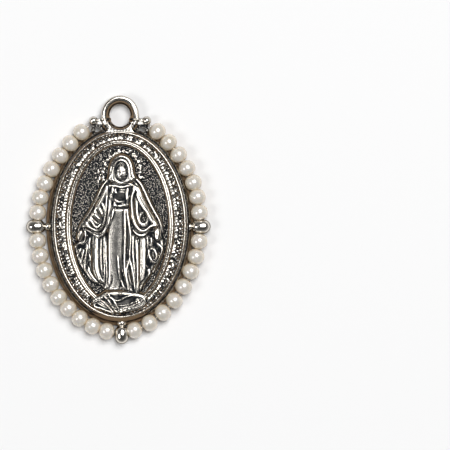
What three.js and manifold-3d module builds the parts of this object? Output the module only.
// A religious medal pendant: an oval cast silver medal with raised figures on both faces, a hanging
// loop, and a string of pearls on a wire that runs round the medal through five small balls.
// Millimetres. The pendant lies on its back: +Z leaves the front face, +Y points to the loop.

import * as THREE from 'three';
import { mergeVertices } from 'three/addons/utils/BufferGeometryUtils.js';
import Module from 'manifold-3d';

const wasm = await Module();
wasm.setup();

// Driving dimensions of the medal body
const MEDAL_WIDTH = 25.66;
const MEDAL_HEIGHT = 35.4;
const MEDAL_THICKNESS = 2.9;
const EDGE_ROUNDING = 0.73;
const FRONT_RIM_WIDTH = 0.45;
const BAND_SIDE_WIDTH = 2.25;
const BAND_END_WIDTH = 1.52;
const BAND_DEPTH = 0.5;
const RIDGE_WIDTH = 0.5;
const RIDGE_HEIGHT = 0.36;
const FRONT_RECESS = 0.7;
const BACK_RIM_WIDTH = 1.9;
const BACK_LAND_WIDTH = 0.4;
const BACK_RECESS = 0.6;

// Driving dimensions of the relief
const FIGURE_HEIGHT = 0.9;
const BACK_RELIEF_HEIGHT = 0.42;
const RELIEF_SINK = 0.3;
const LEAF_LENGTH = 1.55;
const LEAF_WIDTH = 0.78;
const LEAF_HEIGHT = 0.34;
const LEAF_PITCH_RATIO = 1.55;
const HALO_STARS = 12;
const HALO_STAR_SIZE = 1.05;
const BACK_STAR_SIZE = 2.7;
const RIB_SPACING = 0.75;
const RIB_WIDTH = 0.95;

// Driving dimensions of the hanging loop
const LOOP_HOLE_WIDTH = 3.8;
const LOOP_HOLE_HEIGHT = 4.0;
const LOOP_SIDE_WALL = 1.5;
const LOOP_TOP_WALL = 1.6;
const LOOP_DEPTH = 1.5;
const LOOP_RISE = 0.05;
const NECK_WIDTH = 5.2;
const NECK_FOOT_WIDTH = 6.6;
const NECK_DEPTH = 1.3;
const COLLAR_WIDTH = 2.1;
const COLLAR_HEIGHT = 0.95;
const COLLAR_ANGLE = 18;
const BAR_THICKNESS = 0.55;
const STRUT_REACH = 0.36;
const GRANULE_DIAMETER = 0.8;
const WEB_THICKNESS = 0.7;

// Driving dimensions of the pearl string
const PEARL_DIAMETER = 3.0;
const PEARL_LENGTH = 2.69;
const PEARL_GAP = 0.05;
const PEARL_CLEARANCE = 0.05;
const WIRE_DIAMETER = 0.5;
const WIRE_CLEARANCE = 0.2;
const WIRE_END_CLEARANCE = 0.3;
const WIRE_STEP = 1.5;
const STRING_STANDOFF = 1.92;
const STRING_END_STANDOFF = 1.63;
const STRING_DROP = 0.35;
const STRING_EXPONENT = 1.95;
const STRING_OPENING = 18.2;
const STRING_FLARE = 0.85;
const STRING_FLARE_SHARE = 0.07;
const END_BALL_DIAMETER = 1.6;
const END_BALL_STANDOFF = 0.42;
const SIDE_BALL_LENGTH = 3.2;
const SIDE_BALL_WIDTH = 2.2;
const LOW_BALL_LENGTH = 3.0;
const LOW_BALL_SHIFT = 0.37;
const BALL_OFFSET = 0.33;
const NECK_BEAD_DIAMETER = 1.0;
const LOW_BEAD_DIAMETER = 1.5;

// Sizes that follow from the ones above
const halfWidth = MEDAL_WIDTH / 2;
const halfHeight = MEDAL_HEIGHT / 2;
const fieldWidth = halfWidth - EDGE_ROUNDING - FRONT_RIM_WIDTH - BAND_SIDE_WIDTH;
const fieldHeight = halfHeight - EDGE_ROUNDING - FRONT_RIM_WIDTH - BAND_END_WIDTH;
const frontField = MEDAL_THICKNESS - FRONT_RECESS;
const bandFloor = MEDAL_THICKNESS - BAND_DEPTH;
const stringLevel = PEARL_DIAMETER / 2 + PEARL_CLEARANCE;
const wireHole = WIRE_DIAMETER / 2 + WIRE_CLEARANCE;
const loopCentreY = halfHeight + LOOP_RISE + LOOP_HOLE_HEIGHT / 2;

// Turns rows of bare values into rows with named columns.
function table(columns, rows) {
  return rows.map((row) => Object.fromEntries(columns.map((name, i) => [name, row[i]])));
}

// Makes a solid of a closed three.js geometry.
function solid(geometry) {
  const bare = geometry.clone();
  bare.deleteAttribute('normal');
  bare.deleteAttribute('uv');
  const merged = mergeVertices(bare);
  return new wasm.Manifold(
    new wasm.Mesh({
      numProp: 3,
      vertProperties: new Float32Array(merged.attributes.position.array),
      triVerts: new Uint32Array(merged.index.array),
    }),
  );
}

// Makes a three.js geometry of a solid.
function geometryOf(body) {
  const mesh = body.getMesh();
  const geometry = new THREE.BufferGeometry();
  geometry.setAttribute('position', new THREE.BufferAttribute(new Float32Array(mesh.vertProperties), 3));
  geometry.setIndex(new THREE.BufferAttribute(new Uint32Array(mesh.triVerts), 1));
  geometry.computeVertexNormals();
  return geometry;
}

function joined(solids) {
  return solids.reduce((whole, piece) => whole.add(piece));
}

// An oval body of rings that run from the middle of the back to the middle of the front.
function ovalBody(rings, around) {
  const positions = [];
  const index = [];
  for (const ring of rings) {
    for (let i = 0; i < around; i += 1) {
      const angle = (2 * Math.PI * i) / around;
      positions.push(ring.halfWidth * Math.cos(angle), ring.halfHeight * Math.sin(angle), ring.z);
    }
  }
  for (let j = 0; j < rings.length - 1; j += 1) {
    for (let i = 0; i < around; i += 1) {
      const a = j * around + i;
      const b = j * around + ((i + 1) % around);
      index.push(a, b, b + around, a, b + around, a + around);
    }
  }
  const last = (rings.length - 1) * around;
  const backMiddle = rings.length * around;
  positions.push(0, 0, rings[0].z, 0, 0, rings[rings.length - 1].z);
  for (let i = 0; i < around; i += 1) {
    const next = (i + 1) % around;
    index.push(backMiddle, next, i, backMiddle + 1, last + i, last + next);
  }
  const geometry = new THREE.BufferGeometry();
  geometry.setAttribute('position', new THREE.Float32BufferAttribute(positions, 3));
  geometry.setIndex(index);
  return geometry;
}

// A closed tube round an oval, with its own wall at the sides and at the ends.
function ovalLoop(size, around, across) {
  const positions = [];
  const index = [];
  for (let i = 0; i < around; i += 1) {
    const turn = (2 * Math.PI * i) / around;
    const share = Math.sin(turn) ** 2;
    const wall = size.sideWall * (1 - share) + size.endWall * share;
    for (let j = 0; j < across; j += 1) {
      const roll = (2 * Math.PI * j) / across;
      const out = (wall / 2) * (1 + Math.cos(roll));
      positions.push(
        (size.holeWidth / 2 + out) * Math.cos(turn),
        (size.holeHeight / 2 + out) * Math.sin(turn),
        (size.depth / 2) * Math.sin(roll),
      );
      const a = i * across + j;
      const b = ((i + 1) % around) * across + j;
      const side = (j + 1) % across;
      const c = ((i + 1) % around) * across + side;
      const d = i * across + side;
      index.push(a, b, c, a, c, d);
    }
  }
  const geometry = new THREE.BufferGeometry();
  geometry.setAttribute('position', new THREE.Float32BufferAttribute(positions, 3));
  geometry.setIndex(index);
  return geometry;
}

// A rounded lump of the given full sizes, turned about Z by the given degrees.
function lump(size, place, turn = 0, around = 12, rows = 8) {
  const geometry = new THREE.SphereGeometry(0.5, around, rows);
  geometry.rotateX(Math.PI / 2);
  geometry.scale(size.x, size.y, size.z);
  geometry.rotateZ(THREE.MathUtils.degToRad(turn));
  geometry.translate(place.x, place.y, place.z);
  return solid(geometry);
}

// A round bar between two points.
function bar(from, to, thickness, sides = 8) {
  const along = to.clone().sub(from);
  const geometry = new THREE.CylinderGeometry(thickness / 2, thickness / 2, along.length(), sides);
  const turn = new THREE.Quaternion().setFromUnitVectors(new THREE.Vector3(0, 1, 0), along.clone().normalize());
  geometry.applyQuaternion(turn);
  geometry.translate((from.x + to.x) / 2, (from.y + to.y) / 2, (from.z + to.z) / 2);
  return solid(geometry);
}

// Raised work on one face. Places are shares of the field's half width and half height,
// and heights are shares of the height of the relief.
class Relief {
  constructor(width, height, rise) {
    this.width = width;
    this.height = height;
    this.rise = rise;
    this.pieces = [];
  }

  point(row) {
    return new THREE.Vector2(row.across * this.width, row.up * this.height);
  }

  // A flat raised piece with a sloping edge, inside a smooth or a cornered outline.
  sheet(rows, rise, smooth = true, steps = 2) {
    const corners = rows.map((row) => this.point(row));
    const spline = new THREE.CatmullRomCurve3(
      corners.map((corner) => new THREE.Vector3(corner.x, corner.y, 0)),
      true,
      'catmullrom',
      0.4,
    );
    const outline = smooth ? spline.getPoints(rows.length * steps).slice(0, -1) : corners;
    const shape = new THREE.Shape(outline.map((corner) => new THREE.Vector2(corner.x, corner.y)));
    const slope = Math.min(rise * this.rise, RELIEF_SINK) * 0.8;
    const geometry = new THREE.ExtrudeGeometry(shape, {
      depth: rise * this.rise + RELIEF_SINK - 2 * slope,
      bevelThickness: slope,
      bevelSize: slope,
      bevelOffset: -slope,
      bevelSegments: 1,
    });
    geometry.translate(0, 0, slope - RELIEF_SINK);
    this.pieces.push(solid(geometry));
  }

  // A long round fold between two places.
  fold(from, to, thickness, rise) {
    const start = this.point(from);
    const end = this.point(to);
    const along = end.clone().sub(start);
    const size = { x: along.length() + thickness, y: thickness, z: 2 * rise * this.rise };
    const middle = start.clone().add(end).multiplyScalar(0.5);
    const turn = THREE.MathUtils.radToDeg(Math.atan2(along.y, along.x));
    this.pieces.push(lump(size, { x: middle.x, y: middle.y, z: 0 }, turn, 8, 4));
  }

  // A round boss.
  boss(row, width, height, rise, turn = 0, around = 8, rows = 4) {
    const middle = this.point(row);
    const size = { x: width, y: height, z: 2 * rise * this.rise };
    this.pieces.push(lump(size, { x: middle.x, y: middle.y, z: 0 }, turn, around, rows));
  }

  // A five-pointed star that rises to its middle.
  star(middle, size, rise, turn) {
    const outline = [];
    for (let i = 0; i < 10; i += 1) {
      const angle = THREE.MathUtils.degToRad(turn + 36 * i);
      const reach = (i % 2 === 0 ? 0.5 : 0.21) * size;
      outline.push(new THREE.Vector2(reach * Math.sin(angle), reach * Math.cos(angle)));
    }
    this.pieces.push(pyramid(outline, middle, -RELIEF_SINK, rise * this.rise));
  }

  // A round cord along a smooth route.
  cord(rows, thickness, rise, steps) {
    const route = rows.map((row) => this.point(row));
    const curve = new THREE.CatmullRomCurve3(
      route.map((place) => new THREE.Vector3(place.x, place.y, 0)),
      false,
      'catmullrom',
      0.5,
    );
    const section = ringShape(thickness / 2, 6);
    const geometry = new THREE.ExtrudeGeometry(section, { steps, extrudePath: curve });
    geometry.scale(1, 1, (2 * rise * this.rise) / thickness);
    this.pieces.push(solid(geometry));
  }

  // The finished work, raised from the front or, turned over, from the back.
  placed(level, turned) {
    const whole = joined(this.pieces);
    return turned ? whole.rotate([0, 180, 0]).translate([0, 0, level]) : whole.translate([0, 0, level]);
  }
}

function ringShape(radius, sides) {
  const corners = [];
  for (let i = 0; i < sides; i += 1) {
    const angle = (2 * Math.PI * (i + 0.5)) / sides;
    corners.push(new THREE.Vector2(radius * Math.cos(angle), radius * Math.sin(angle)));
  }
  return new THREE.Shape(corners);
}

// A pyramid on a cornered outline that runs clockwise, with its point over the middle.
function pyramid(outline, middle, low, high) {
  const corners = outline.length;
  const positions = [];
  const index = [];
  for (const corner of outline) {
    positions.push(middle.x + corner.x, middle.y + corner.y, low);
  }
  positions.push(middle.x, middle.y, low, middle.x, middle.y, high);
  for (let i = 0; i < corners; i += 1) {
    const next = (i + 1) % corners;
    index.push(corners, i, next, corners + 1, next, i);
  }
  const geometry = new THREE.BufferGeometry();
  geometry.setAttribute('position', new THREE.Float32BufferAttribute(positions, 3));
  geometry.setIndex(index);
  return solid(geometry);
}

// The oval body with its rims, the band, the double ridge and the sunk fields.
function medalBody() {
  const backRound = (BACK_RIM_WIDTH - BACK_LAND_WIDTH) / 2;
  const rimLine = EDGE_ROUNDING;
  const bandLine = EDGE_ROUNDING + FRONT_RIM_WIDTH;
  const inset = (depth, z) => ({ halfWidth: halfWidth - depth, halfHeight: halfHeight - depth, z });
  const ridge = (share, z) => ({
    halfWidth: fieldWidth - share * RIDGE_WIDTH,
    halfHeight: fieldHeight - share * RIDGE_WIDTH,
    z,
  });
  return solid(
    ovalBody(
      [
        inset(BACK_RIM_WIDTH, BACK_RECESS),
        inset(BACK_RIM_WIDTH - backRound * 0.35, BACK_RECESS * 0.3),
        inset(BACK_RIM_WIDTH - backRound, 0),
        inset(backRound, 0),
        inset(backRound * 0.3, MEDAL_THICKNESS * 0.08),
        inset(0, MEDAL_THICKNESS * 0.33),
        inset(0, MEDAL_THICKNESS * 0.62),
        inset(rimLine * 0.3, MEDAL_THICKNESS * 0.87),
        inset(rimLine, MEDAL_THICKNESS),
        inset(bandLine, MEDAL_THICKNESS),
        inset(bandLine, bandFloor),
        ridge(0, bandFloor),
        ridge(0.25, bandFloor + RIDGE_HEIGHT),
        ridge(0.5, bandFloor + RIDGE_HEIGHT * 0.45),
        ridge(0.75, bandFloor + RIDGE_HEIGHT * 0.85),
        ridge(1, frontField),
      ],
      52,
    ),
  );
}

// Two rows of leaves round the band, with their points one way.
function bandLeaves() {
  const outer = new THREE.Vector2(
    halfWidth - EDGE_ROUNDING - FRONT_RIM_WIDTH,
    halfHeight - EDGE_ROUNDING - FRONT_RIM_WIDTH,
  );
  const middle = new THREE.Vector2((outer.x + fieldWidth) / 2, (outer.y + fieldHeight) / 2);
  const band = new THREE.EllipseCurve(0, 0, middle.x, middle.y, 0, 2 * Math.PI);
  const pairs = Math.floor(band.getLength() / (LEAF_LENGTH * LEAF_PITCH_RATIO));
  const leaves = [];
  for (let i = 0; i < pairs; i += 1) {
    const place = band.getPointAt((i + 0.5) / pairs);
    const along = band.getTangentAt((i + 0.5) / pairs);
    const heading = Math.atan2(along.y, along.x) + (place.x > 0 ? 0 : Math.PI);
    const out = new THREE.Vector2(place.x / middle.x ** 2, place.y / middle.y ** 2).normalize();
    for (const side of [1, -1]) {
      const at = place.clone().addScaledVector(out, side * LEAF_WIDTH * 0.52);
      const lean = (place.x > 0 ? 1 : -1) * side * THREE.MathUtils.degToRad(24);
      const outline = [
        new THREE.Vector2(-LEAF_LENGTH / 2, 0),
        new THREE.Vector2(-LEAF_LENGTH * 0.12, LEAF_WIDTH / 2),
        new THREE.Vector2(LEAF_LENGTH / 2, 0),
        new THREE.Vector2(-LEAF_LENGTH * 0.12, -LEAF_WIDTH / 2),
      ].map((corner) => corner.rotateAround(new THREE.Vector2(), heading - lean));
      leaves.push(pyramid(outline, at, bandFloor - RELIEF_SINK, bandFloor + LEAF_HEIGHT));
    }
  }
  return joined(leaves);
}

// Front figure: a robed and veiled figure with open arms, standing on a globe under a ring of stars.
const MANTLE = table(['across', 'up'], [
  [-0.21, 0.54], [-0.33, 0.46], [-0.42, 0.28], [-0.55, 0.15], [-0.74, 0.02], [-0.81, -0.11],
  [-0.84, -0.28], [-0.77, -0.44], [-0.6, -0.6], [-0.42, -0.72], [-0.3, -0.76], [0.35, -0.78],
  [0.44, -0.72], [0.58, -0.6], [0.72, -0.48], [0.82, -0.33], [0.82, -0.19], [0.78, -0.09],
  [0.64, 0.13], [0.49, 0.28], [0.44, 0.45], [0.29, 0.54],
]);
const ROBE = table(['across', 'up'], [
  [-0.17, 0.5], [-0.14, 0.3], [-0.13, 0.2], [-0.2, 0.03], [-0.27, -0.3], [-0.31, -0.74],
  [0, -0.8], [0.36, -0.79], [0.32, -0.3], [0.24, 0.03], [0.15, 0.2], [0.17, 0.3], [0.23, 0.5],
]);
const LEFT_SLEEVE = table(['across', 'up'], [
  [-0.16, 0.42], [-0.31, 0.37], [-0.52, 0.13], [-0.73, -0.02], [-0.57, -0.075], [-0.39, -0.135],
  [-0.26, -0.07], [-0.21, 0.07], [-0.15, 0.25],
]);
const RIGHT_SLEEVE = table(['across', 'up'], [
  [0.2, 0.43], [0.33, 0.4], [0.52, 0.2], [0.74, 0], [0.63, -0.035], [0.5, -0.12], [0.36, -0.14],
  [0.25, 0.03], [0.19, 0.24],
]);
const VEIL = table(['across', 'up'], [
  [-0.23, 0.53], [-0.2, 0.68], [-0.13, 0.78], [0.025, 0.83], [0.18, 0.78], [0.26, 0.68], [0.29, 0.53],
  [0.1, 0.5], [-0.06, 0.5],
]);
const ROBE_FOLDS = table(['topAcross', 'top', 'lowAcross', 'low', 'thickness', 'rise'], [
  [-0.09, 0.18, -0.25, -0.7, 0.045, 0.74],
  [-0.04, 0.18, -0.13, -0.72, 0.04, 0.72],
  [0, 0.17, -0.02, -0.74, 0.03, 0.74],
  [0.05, 0.18, 0.08, -0.66, 0.045, 0.8],
  [0.09, 0.18, 0.19, -0.76, 0.04, 0.76],
  [0.12, 0.16, 0.3, -0.72, 0.05, 0.78],
  [0.2, 0.04, 0.27, -0.3, 0.03, 0.7],
]);
const MANTLE_FOLDS = table(['topAcross', 'top', 'lowAcross', 'low', 'thickness', 'rise'], [
  [-0.47, -0.14, -0.38, -0.66, 0.06, 0.62],
  [-0.6, -0.12, -0.52, -0.58, 0.04, 0.5],
  [-0.34, -0.16, -0.3, -0.68, 0.035, 0.55],
  [0.42, -0.16, 0.4, -0.68, 0.04, 0.55],
  [0.53, -0.12, 0.52, -0.56, 0.045, 0.52],
  [0.66, -0.22, 0.66, -0.44, 0.06, 0.55],
  [-0.36, 0.42, -0.5, 0.17, 0.03, 0.45],
  [0.42, 0.42, 0.55, 0.18, 0.035, 0.5],
  [-0.1, 0.42, -0.1, 0.26, 0.03, 0.74],
  [0.1, 0.42, 0.13, 0.26, 0.03, 0.74],
]);
const LEFT_CUFF = table(['across', 'up'], [
  [-0.72, -0.02], [-0.55, -0.06], [-0.4, -0.125], [-0.29, -0.08], [-0.24, 0.05], [-0.18, 0.22], [-0.19, 0.36],
]);
const RIGHT_CUFF = table(['across', 'up'], [
  [0.73, 0.01], [0.6, -0.04], [0.47, -0.11], [0.36, -0.11], [0.28, 0.04], [0.22, 0.22], [0.24, 0.38],
]);
const SERPENT = table(['across', 'up'], [
  [-0.08, -1.01], [-0.28, -1.01], [-0.44, -0.95], [-0.36, -0.915], [-0.2, -0.955], [-0.16, -0.89], [0.02, -0.915],
  [0.22, -0.88], [0.36, -0.9], [0.43, -0.935],
]);

function frontRelief() {
  const relief = new Relief(fieldWidth, fieldHeight, FIGURE_HEIGHT);
  relief.sheet(MANTLE, 0.38, false);
  relief.sheet(ROBE, 0.6, false);
  relief.sheet(LEFT_SLEEVE, 0.55);
  relief.sheet(RIGHT_SLEEVE, 0.55);
  relief.sheet(VEIL, 0.55, true, 1);
  for (const row of [...ROBE_FOLDS, ...MANTLE_FOLDS]) {
    relief.fold(
      { across: row.topAcross, up: row.top },
      { across: row.lowAcross, up: row.low },
      2 * row.thickness * fieldWidth,
      row.rise,
    );
  }
  relief.cord(LEFT_CUFF, 0.05 * fieldWidth, 0.74, 7);
  relief.cord(RIGHT_CUFF, 0.05 * fieldWidth, 0.74, 7);
  relief.fold({ across: -0.11, up: 0.21 }, { across: 0.14, up: 0.21 }, 0.07 * fieldWidth, 0.8);
  relief.boss({ across: 0.02, up: 0.212 }, 0.1 * fieldWidth, 0.1 * fieldWidth, 0.9, 0, 8);
  frontHead(relief);
  frontHands(relief);
  relief.boss({ across: 0, up: -0.93 }, 0.98 * fieldWidth, 0.24 * fieldHeight, 0.4, 0, 14, 4);
  relief.cord(SERPENT, 0.075 * fieldWidth, 0.72, 11);
  relief.boss({ across: 0.42, up: -0.93 }, 0.13 * fieldWidth, 0.1 * fieldWidth, 0.8, -35, 8);
  relief.boss({ across: 0, up: -0.825 }, 0.11 * fieldWidth, 0.1 * fieldWidth, 0.85, 0, 8);
  relief.boss({ across: 0.17, up: -0.825 }, 0.11 * fieldWidth, 0.08 * fieldWidth, 0.8, 0, 8);
  for (let i = 0; i < HALO_STARS; i += 1) {
    const angle = THREE.MathUtils.degToRad(-4 + (188 * i) / (HALO_STARS - 1));
    const middle = relief.point({ across: 0.01 + 0.425 * Math.cos(angle), up: 0.565 + 0.36 * Math.sin(angle) });
    relief.star(middle, HALO_STAR_SIZE, 0.5, 90 - THREE.MathUtils.radToDeg(angle));
  }
  return relief.placed(frontField, false);
}

// The head under the veil: a plain oval face with evenly placed features, and the neck.
function frontHead(relief) {
  const unit = 0.25 * fieldWidth;
  const face = { across: 0.033, up: 0.628 };
  const below = (share) => ({ across: face.across, up: face.up - (share * unit) / fieldHeight });
  relief.boss(below(0.62), 0.55 * unit, 0.7 * unit, 0.72, 0, 10);
  relief.boss(face, unit, 1.3 * unit, 0.92, 0, 12, 8);
  relief.boss(below(0.06), 0.13 * unit, 0.36 * unit, 1.02, 0, 8);
  relief.boss(below(0.32), 0.28 * unit, 0.09 * unit, 0.96, 0, 8);
  for (const side of [-1, 1]) {
    const eye = { across: face.across + (side * 0.21 * unit) / fieldWidth, up: face.up + (0.07 * unit) / fieldHeight };
    relief.boss(eye, 0.2 * unit, 0.1 * unit, 0.95, 0, 8);
  }
  for (const side of [-1, 1]) {
    relief.fold(
      { across: face.across + side * 0.165, up: 0.72 },
      { across: face.across + side * 0.19, up: 0.55 },
      0.1 * fieldWidth,
      0.72,
    );
  }
  relief.fold({ across: -0.07, up: 0.795 }, { across: 0.13, up: 0.795 }, 0.1 * fieldWidth, 0.72);
}

// Open hands at the sleeves, each with a short fan of rays under it.
function frontHands(relief) {
  for (const side of [-1, 1]) {
    relief.boss({ across: side * 0.74, up: -0.12 }, 0.11 * fieldWidth, 0.17 * fieldWidth, 0.7, side * 25, 8);
    for (let i = 0; i < 3; i += 1) {
      relief.fold(
        { across: side * (0.77 - 0.07 * i), up: -0.19 },
        { across: side * (0.82 - 0.1 * i), up: -0.34 - 0.04 * i },
        0.045 * fieldWidth,
        0.55,
      );
    }
  }
}

// Back: a ribbed cross on a ribbed trestle, with two hearts under it inside a ring of stars.
const CROSS = table(['across', 'up'], [
  [-0.13, 0.83], [0.05, 0.83], [0.05, 0.68], [0.33, 0.68], [0.38, 0.75], [0.5, 0.75], [0.5, 0.47], [0.38, 0.47],
  [0.33, 0.54], [0.05, 0.54], [0.05, 0.2], [-0.13, 0.2], [-0.13, 0.54], [-0.41, 0.54], [-0.46, 0.46], [-0.53, 0.46],
  [-0.53, 0.72], [-0.46, 0.72], [-0.41, 0.67], [-0.13, 0.67],
]);
const TRESTLE = table(['across', 'up'], [
  [-0.7, 0.215], [0.4, 0.215], [0.4, 0.33], [0.3, 0.33], [0.3, 0.385], [0.72, 0.385], [0.72, 0.33], [0.64, 0.33],
  [0.64, 0.215], [0.78, 0.215], [0.78, 0.075], [0.64, 0.075], [0.64, -0.18], [0.68, -0.26], [0.33, -0.26],
  [0.4, -0.18], [0.4, 0.075], [-0.53, 0.075], [-0.53, -0.19], [-0.5, -0.27], [-0.58, -0.31], [-0.68, -0.27],
  [-0.66, -0.19], [-0.66, 0.075], [-0.7, 0.075],
]);
const HEART = table(['across', 'up'], [
  [0, 0.3], [0.22, 0.44], [0.46, 0.4], [0.52, 0.16], [0.38, -0.14], [0, -0.56],
  [-0.38, -0.14], [-0.52, 0.16], [-0.46, 0.4], [-0.22, 0.44],
]);
const HEARTS = table(['across', 'up', 'size', 'turn'], [
  [-0.3, -0.5, 0.54, 8],
  [0.33, -0.53, 0.54, -8],
]);
const BACK_STARS = table(['across', 'up', 'turn'], [
  [-0.39, 0.85, 0], [0.27, 0.86, 8], [-0.72, 0.55, 20], [0.68, 0.58, -4], [-0.85, 0.17, 24], [0.9, 0.22, -14],
  [-0.84, -0.18, 12], [0.91, -0.16, -20], [-0.69, -0.57, 30], [0.79, -0.53, -24], [-0.27, -0.83, 34], [0.39, -0.82, -12],
]);
const RIB_ROWS = table(['fromAcross', 'fromUp', 'toAcross', 'toUp'], [
  [-0.04, 0.8, -0.04, 0.24],
  [-0.42, 0.605, -0.13, 0.605],
  [0.06, 0.61, 0.36, 0.61],
  [0, 0.145, 0.4, 0.145],
  [-0.62, 0.145, -0.1, 0.145],
  [0.52, 0.34, 0.52, -0.2],
]);
const FLAMES = table(['across', 'up', 'length', 'turn'], [
  [-0.34, -0.3, 0.13, 100],
  [-0.25, -0.29, 0.17, 75],
  [-0.4, -0.335, 0.13, 150],
  [0.22, -0.33, 0.14, 130],
  [0.33, -0.315, 0.17, 95],
  [0.45, -0.33, 0.16, 40],
]);

function backRelief() {
  const relief = new Relief(halfWidth - BACK_RIM_WIDTH - 1.1, halfHeight - BACK_RIM_WIDTH, BACK_RELIEF_HEIGHT);
  relief.sheet(CROSS, 1, false);
  relief.sheet(TRESTLE, 0.9, false);
  for (const row of RIB_ROWS) {
    ribs(relief, row);
  }
  relief.fold({ across: -0.5, up: 0.06 }, { across: 0.36, up: -0.24 }, 0.1 * relief.width, 0.85);
  relief.fold({ across: 0.36, up: 0.06 }, { across: -0.5, up: -0.24 }, 0.1 * relief.width, 0.85);
  for (const row of HEARTS) {
    heart(relief, row);
  }
  for (const row of FLAMES) {
    relief.boss(row, row.length * relief.width, 0.09 * relief.width, 0.9, row.turn, 8);
  }
  relief.boss({ across: -0.06, up: 0.925 }, 0.47 * relief.width, 0.09 * relief.height, 0.8, 0, 12);
  relief.boss({ across: -0.27, up: -0.69 }, 0.2 * relief.width, 0.1 * relief.width, 0.8, -30, 8);
  for (let i = 0; i < 3; i += 1) {
    relief.boss({ across: 0.02 + 0.08 * i, up: -0.93 }, 0.07 * relief.width, 0.13 * relief.height, 0.7, 0, 8);
  }
  for (const row of BACK_STARS) {
    relief.star(relief.point(row), BACK_STAR_SIZE, 0.85, row.turn);
  }
  return relief.placed(BACK_RECESS, true);
}

// A row of short ribs across a member, from one end of it to the other.
function ribs(relief, row) {
  const from = relief.point({ across: row.fromAcross, up: row.fromUp });
  const to = relief.point({ across: row.toAcross, up: row.toUp });
  const count = Math.max(2, Math.round(from.distanceTo(to) / RIB_SPACING));
  const turn = Math.atan2(to.y - from.y, to.x - from.x);
  for (let i = 0; i < count; i += 1) {
    const middle = from.clone().lerp(to, (i + 0.5) / count);
    const outline = [[-1, -1], [-1, 1], [1, 1], [1, -1]].map(([x, y]) =>
      new THREE.Vector2(x * RIB_SPACING * 0.3, y * RIB_WIDTH * 0.5).rotateAround(new THREE.Vector2(), turn),
    );
    relief.pieces.push(pyramid(outline, middle, 0, 1.35 * relief.rise));
  }
}

// A domed heart.
function heart(relief, row) {
  const middle = relief.point(row);
  const size = row.size * relief.width;
  const turn = THREE.MathUtils.degToRad(row.turn);
  const around = HEART.map((corner) => {
    const place = new THREE.Vector2(corner.across * size, corner.up * size).rotateAround(new THREE.Vector2(), turn);
    return { across: (middle.x + place.x) / relief.width, up: (middle.y + place.y) / relief.height };
  });
  relief.sheet(around, 0.75, true, 2);
  relief.boss(row, 0.62 * size, 0.62 * size, 1.1, 0, 10);
}

// The curve that the pearl string follows, from the left end ball round the bottom to the right one.
class StringRoute extends THREE.Curve {
  constructor() {
    super();
    this.halfWidth = halfWidth + STRING_STANDOFF;
    this.halfHeight = halfHeight + STRING_END_STANDOFF;
    this.from = THREE.MathUtils.degToRad(90 + STRING_OPENING);
    this.to = THREE.MathUtils.degToRad(450 - STRING_OPENING);
  }

  shareAt(degrees) {
    return (THREE.MathUtils.degToRad(degrees) - this.from) / (this.to - this.from);
  }

  getPoint(share, target = new THREE.Vector3()) {
    const angle = this.from + (this.to - this.from) * share;
    const bent = (value) => Math.sign(value) * Math.abs(value) ** (2 / STRING_EXPONENT);
    const out = new THREE.Vector2(this.halfHeight * Math.cos(angle), this.halfWidth * Math.sin(angle)).normalize();
    const near = Math.max(0, 1 - Math.min(share, 1 - share) / STRING_FLARE_SHARE);
    const lift = STRING_FLARE * near * near * (3 - 2 * near);
    return target.set(
      this.halfWidth * bent(Math.cos(angle)) + lift * out.x,
      this.halfHeight * bent(Math.sin(angle)) - STRING_DROP + lift * out.y,
      stringLevel,
    );
  }

  // The length of the string from its left end to a share of the curve.
  lengthTo(share) {
    const steps = 1440;
    return this.getLengths(steps)[Math.round(THREE.MathUtils.clamp(share, 0, 1) * steps)];
  }
}

const route = new StringRoute();
route.arcLengthDivisions = 1440;
const routeLength = route.getLength();

// Where each ball sits on the string, as lengths from the left end.
const lowAngle = 270 + THREE.MathUtils.radToDeg(LOW_BALL_SHIFT / route.halfWidth);
const BALLS = [
  { at: route.lengthTo(route.shareAt(180)), length: SIDE_BALL_LENGTH, bead: NECK_BEAD_DIAMETER },
  { at: route.lengthTo(route.shareAt(lowAngle)), length: LOW_BALL_LENGTH, bead: LOW_BEAD_DIAMETER },
  { at: route.lengthTo(route.shareAt(360)), length: SIDE_BALL_LENGTH, bead: NECK_BEAD_DIAMETER },
];

// The place on the string at a length from its left end, with the ways along it and outwards.
function station(length) {
  const share = length / routeLength;
  const along = route.getTangentAt(share);
  return { place: route.getPointAt(share), along, out: new THREE.Vector3(along.y, -along.x, 0) };
}

// A ball on a neck bead and a stem that join it to the edge, drilled for the wire.
function postBall(ball) {
  const { place, along, out } = station(ball.at);
  const centre = place.clone().addScaledVector(out, BALL_OFFSET);
  const turn = THREE.MathUtils.radToDeg(Math.atan2(out.y, out.x));
  const body = lump({ x: ball.length, y: SIDE_BALL_WIDTH, z: SIDE_BALL_WIDTH }, centre, turn, 10, 8);
  const foot = centre.clone().addScaledVector(out, -ball.length / 2);
  const beadAt = foot.clone().addScaledVector(out, -ball.bead * 0.22);
  const bead = lump({ x: ball.bead * 0.8, y: ball.bead, z: ball.bead }, beadAt, turn, 8, 4);
  const root = foot.clone().addScaledVector(out, -(STRING_STANDOFF + EDGE_ROUNDING));
  const stem = bar(centre, root, ball.bead * 0.6, 6);
  const drill = bar(
    place.clone().addScaledVector(along, -SIDE_BALL_WIDTH),
    place.clone().addScaledVector(along, SIDE_BALL_WIDTH),
    2 * wireHole,
    8,
  );
  return { body: body.add(bead).add(stem), drill };
}

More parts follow.
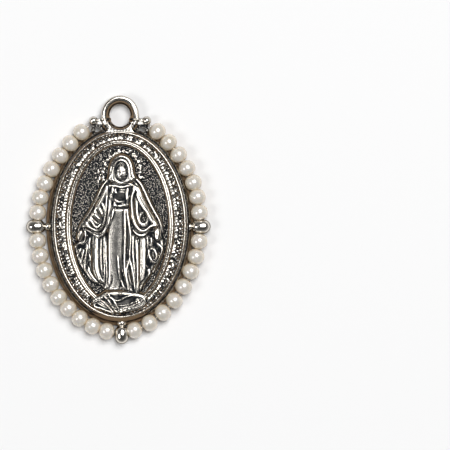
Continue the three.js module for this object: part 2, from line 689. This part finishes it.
// The ball that holds one end of the wire, its bar to the loop's collar and its strut to the edge.
function endBall(end, side) {
  const { place, along } = station(end);
  const inward = along.clone().multiplyScalar(side);
  const size = { x: END_BALL_DIAMETER, y: END_BALL_DIAMETER, z: END_BALL_DIAMETER };
  const ball = lump(size, place, 0, 10, 6);
  const collar = collarPlace(side);
  const rimUp = halfHeight * Math.sqrt(1 - STRUT_REACH ** 2) - EDGE_ROUNDING;
  const rimAt = new THREE.Vector3(-side * halfWidth * STRUT_REACH, rimUp, stringLevel);
  const strut = bar(place, rimAt, BAR_THICKNESS, 6);
  const edgeAt = rimAt.clone().lerp(place, 0.38);
  const grain = { x: GRANULE_DIAMETER, y: GRANULE_DIAMETER, z: GRANULE_DIAMETER };
  const granule = lump(grain, edgeAt, 0, 8, 4);
  const body = joined([ball, bar(place, collar, BAR_THICKNESS, 6), strut, granule, web(place, collar, edgeAt)]);
  const drill = bar(place, place.clone().addScaledVector(inward, END_BALL_DIAMETER), 2 * wireHole, 8);
  return { body, drill };
}

// The thin web between an end ball, the collar and the neck, over the small opening by the strut.
function web(ballAt, collar, edgeAt) {
  const neckSide = (Math.sign(collar.x) * NECK_WIDTH) / 2;
  const corners = [
    new THREE.Vector2(collar.x, collar.y),
    new THREE.Vector2(ballAt.x, ballAt.y),
    new THREE.Vector2(edgeAt.x, (edgeAt.y + ballAt.y) / 2),
    new THREE.Vector2((edgeAt.x + neckSide) / 2, edgeAt.y + GRANULE_DIAMETER),
    new THREE.Vector2(neckSide, edgeAt.y + GRANULE_DIAMETER / 2),
    new THREE.Vector2(neckSide * 0.8, edgeAt.y + GRANULE_DIAMETER / 2),
  ];
  const plate = new THREE.ExtrudeGeometry(new THREE.Shape(corners), { depth: WEB_THICKNESS, bevelEnabled: false });
  return solid(plate.translate(0, 0, stringLevel - WEB_THICKNESS / 2));
}

// The middle of a collar on the loop's left or right side.
function collarPlace(side) {
  const angle = THREE.MathUtils.degToRad(-COLLAR_ANGLE);
  const across = (LOOP_HOLE_WIDTH + LOOP_SIDE_WALL) / 2;
  const up = (LOOP_HOLE_HEIGHT + LOOP_TOP_WALL) / 2;
  return new THREE.Vector3(-side * across * Math.cos(angle), loopCentreY + up * Math.sin(angle), stringLevel);
}

// The hanging loop on its flared neck, with a collar on each side.
function hangingLoop() {
  const size = {
    holeWidth: LOOP_HOLE_WIDTH,
    holeHeight: LOOP_HOLE_HEIGHT,
    sideWall: LOOP_SIDE_WALL,
    endWall: LOOP_TOP_WALL,
    depth: LOOP_DEPTH,
  };
  const loop = solid(ovalLoop(size, 20, 8).translate(0, loopCentreY, stringLevel));
  const neck = new THREE.Shape();
  const low = halfHeight - EDGE_ROUNDING - FRONT_RIM_WIDTH;
  const high = collarPlace(1).y;
  neck.moveTo(-NECK_FOOT_WIDTH / 2, low);
  neck.lineTo(NECK_FOOT_WIDTH / 2, low);
  neck.quadraticCurveTo(NECK_WIDTH / 2, (2 * low + high) / 3, NECK_WIDTH / 2, high);
  neck.lineTo(-NECK_WIDTH / 2, high);
  neck.quadraticCurveTo(-NECK_WIDTH / 2, (2 * low + high) / 3, -NECK_FOOT_WIDTH / 2, low);
  const flare = new THREE.ExtrudeGeometry(neck, {
    depth: NECK_DEPTH,
    bevelEnabled: false,
    curveSegments: 4,
  });
  flare.translate(0, 0, stringLevel - NECK_DEPTH / 2);
  const hole = new THREE.CylinderGeometry(0.5, 0.5, 2 * NECK_DEPTH, 16);
  hole.rotateX(Math.PI / 2);
  hole.scale(LOOP_HOLE_WIDTH + LOOP_SIDE_WALL / 2, LOOP_HOLE_HEIGHT + LOOP_TOP_WALL / 2, 1);
  hole.translate(0, loopCentreY, stringLevel);
  const collars = [-1, 1].map((side) =>
    lump({ x: COLLAR_WIDTH, y: COLLAR_HEIGHT, z: COLLAR_WIDTH * 0.95 }, collarPlace(side), 0, 10, 4),
  );
  return joined([loop, solid(flare).subtract(solid(hole)), ...collars]);
}

// The whole cast medal.
function medal() {
  const posts = BALLS.map(postBall);
  const ends = [endBall(0, 1), endBall(routeLength, -1)];
  const carried = [...posts, ...ends];
  let whole = joined([medalBody(), bandLeaves(), frontRelief(), backRelief(), hangingLoop()]);
  whole = joined([whole, ...carried.map((piece) => piece.body)]);
  for (const piece of carried) {
    whole = whole.subtract(piece.drill);
  }
  return geometryOf(whole);
}

// The wire that carries the pearls, from one end ball to the other.
function wireGeometry() {
  const steps = Math.round(routeLength / WIRE_STEP);
  const start = WIRE_END_CLEARANCE / routeLength;
  const points = [];
  for (let i = 0; i <= steps; i += 1) {
    points.push(route.getPointAt(start + ((1 - 2 * start) * i) / steps));
  }
  const curve = new THREE.CatmullRomCurve3(points);
  return new THREE.ExtrudeGeometry(ringShape(WIRE_DIAMETER / 2, 5), { steps, extrudePath: curve });
}

// A drilled pearl, a little shorter along its hole than it is across.
function pearlGeometry() {
  const profile = [];
  const rows = 6;
  const first = Math.asin((2 * wireHole) / PEARL_DIAMETER);
  for (let i = 0; i <= rows; i += 1) {
    const angle = first + ((Math.PI - 2 * first) * i) / rows;
    profile.push(
      new THREE.Vector2((PEARL_DIAMETER / 2) * Math.sin(angle), (-PEARL_LENGTH / 2) * Math.cos(angle)),
    );
  }
  profile.push(profile[0].clone());
  return new THREE.LatheGeometry(profile, 12);
}

// Places of the pearls: as many as fit in each stretch between two balls, evenly spread.
function pearlStations() {
  const clear = SIDE_BALL_WIDTH / 2 + PEARL_GAP / 2;
  const endClear = END_BALL_DIAMETER / 2 + END_BALL_STANDOFF;
  const stops = [
    { from: endClear, to: BALLS[0].at - clear },
    { from: BALLS[0].at + clear, to: BALLS[1].at - clear },
    { from: BALLS[1].at + clear, to: BALLS[2].at - clear },
    { from: BALLS[2].at + clear, to: routeLength - endClear },
  ];
  const stations = [];
  for (const stop of stops) {
    const span = stop.to - stop.from;
    const count = Math.floor(span / (PEARL_LENGTH + PEARL_GAP));
    for (let i = 0; i < count; i += 1) {
      stations.push(station(stop.from + (span * (i + 0.5)) / count));
    }
  }
  return stations;
}

const silver = new THREE.MeshStandardMaterial({ color: 0xb9b7b2, roughness: 0.32, metalness: 1 });
const wireSilver = new THREE.MeshStandardMaterial({ color: 0xc9c7c1, roughness: 0.28, metalness: 1 });
const nacre = new THREE.MeshStandardMaterial({ color: 0xe9ddcb, roughness: 0.2, metalness: 0 });

function named(name, geometry, material) {
  const mesh = new THREE.Mesh(geometry, material);
  mesh.name = name;
  return mesh;
}

const pendant = new THREE.Group();
pendant.add(named('medal', medal(), silver));
pendant.add(named('pearl_wire', wireGeometry(), wireSilver));
pearlStations().forEach((stop, i) => {
  const pearl = named(`pearl_${String(i + 1).padStart(2, '0')}`, pearlGeometry(), nacre.clone());
  pearl.position.copy(stop.place);
  pearl.quaternion.setFromUnitVectors(new THREE.Vector3(0, 1, 0), stop.along);
  pendant.add(pearl);
});

// The origin is under the middle of the pendant's box, on the surface that it lies on.
const box = new THREE.Box3().setFromObject(pendant, true);
pendant.position.set(-(box.min.x + box.max.x) / 2, -(box.min.y + box.max.y) / 2, -box.min.z);

const group = new THREE.Group();
group.add(pendant);

export default group;
